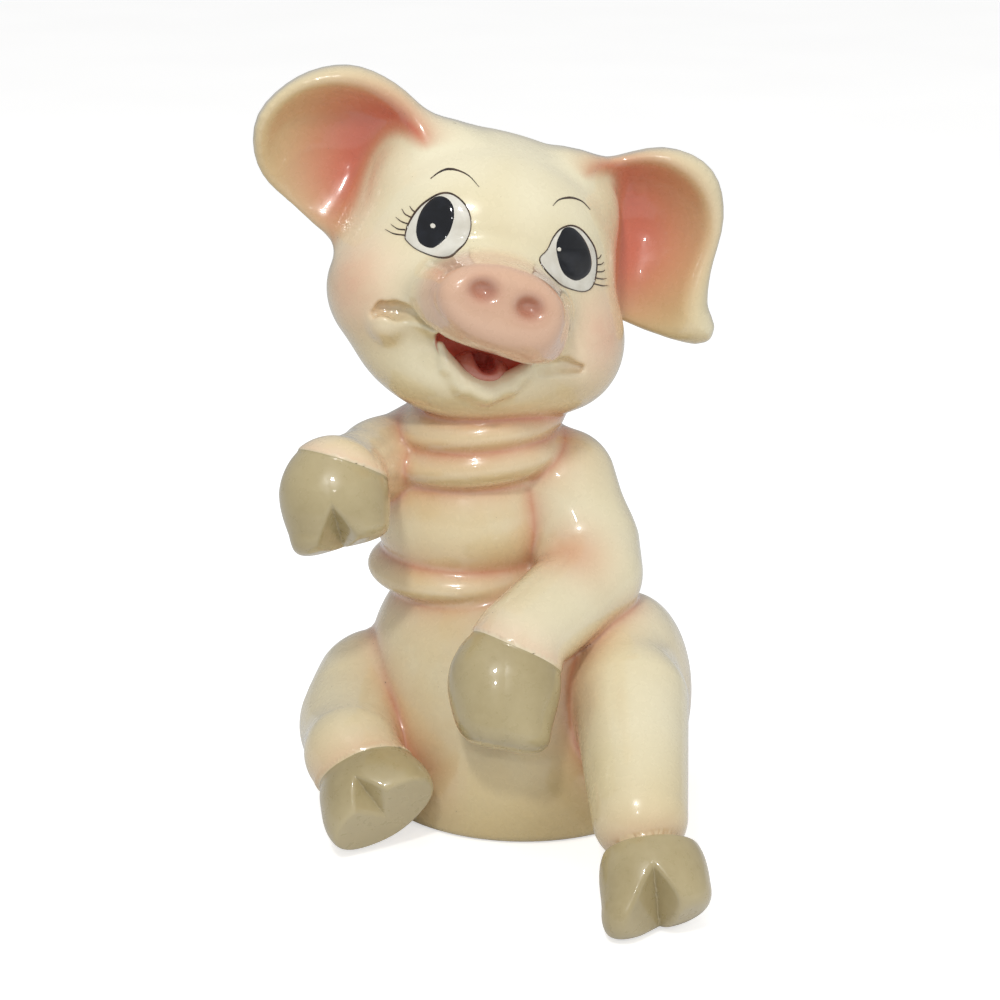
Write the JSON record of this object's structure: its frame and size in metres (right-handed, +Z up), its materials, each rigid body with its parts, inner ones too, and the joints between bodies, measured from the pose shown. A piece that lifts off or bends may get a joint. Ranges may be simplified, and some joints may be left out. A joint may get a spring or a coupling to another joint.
{
  "type": "piggy bank",
  "caption": "Sitting cartoon pig money bank in glazed ceramic, head turned and tilted, coin slot in the upper back, rubber stopper in the base.",
  "frame": {"origin": "on the floor, under the middle of the bank's bounding box", "axes": "+Z up, -Y the way the pig faces, +X the pig's left"},
  "size_m": [0.2361, 0.2179, 0.3367],
  "materials": {
    "cream_glaze": "ivory cream under a clear gloss glaze",
    "blush_glaze": "cream with a sprayed salmon blush, gloss",
    "taupe_glaze": "brushed taupe, gloss",
    "red_glaze": "red, gloss",
    "stopper_rubber": "matt black"
  },
  "bodies": {
    "bank": {"torso_shell": "cream_glaze", "head_shell": "cream_glaze", "tongue": "red_glaze", "left_ear": "blush_glaze", "right_ear": "blush_glaze", "left_arm": "cream_glaze", "right_arm": "cream_glaze", "left_leg": "cream_glaze", "right_leg": "cream_glaze", "left_fore_hoof": "taupe_glaze", "right_fore_hoof": "taupe_glaze", "left_hind_hoof": "taupe_glaze", "right_hind_hoof": "taupe_glaze", "tail": "cream_glaze"},
    "stopper": {"stopper": "stopper_rubber"}
  },
  "joints": [
    {"name": "stopper_pull", "type": "slide", "parent": "bank", "child": "stopper", "axis": [0, 0, -1], "range_m": [0, 0.02]}
  ]
}
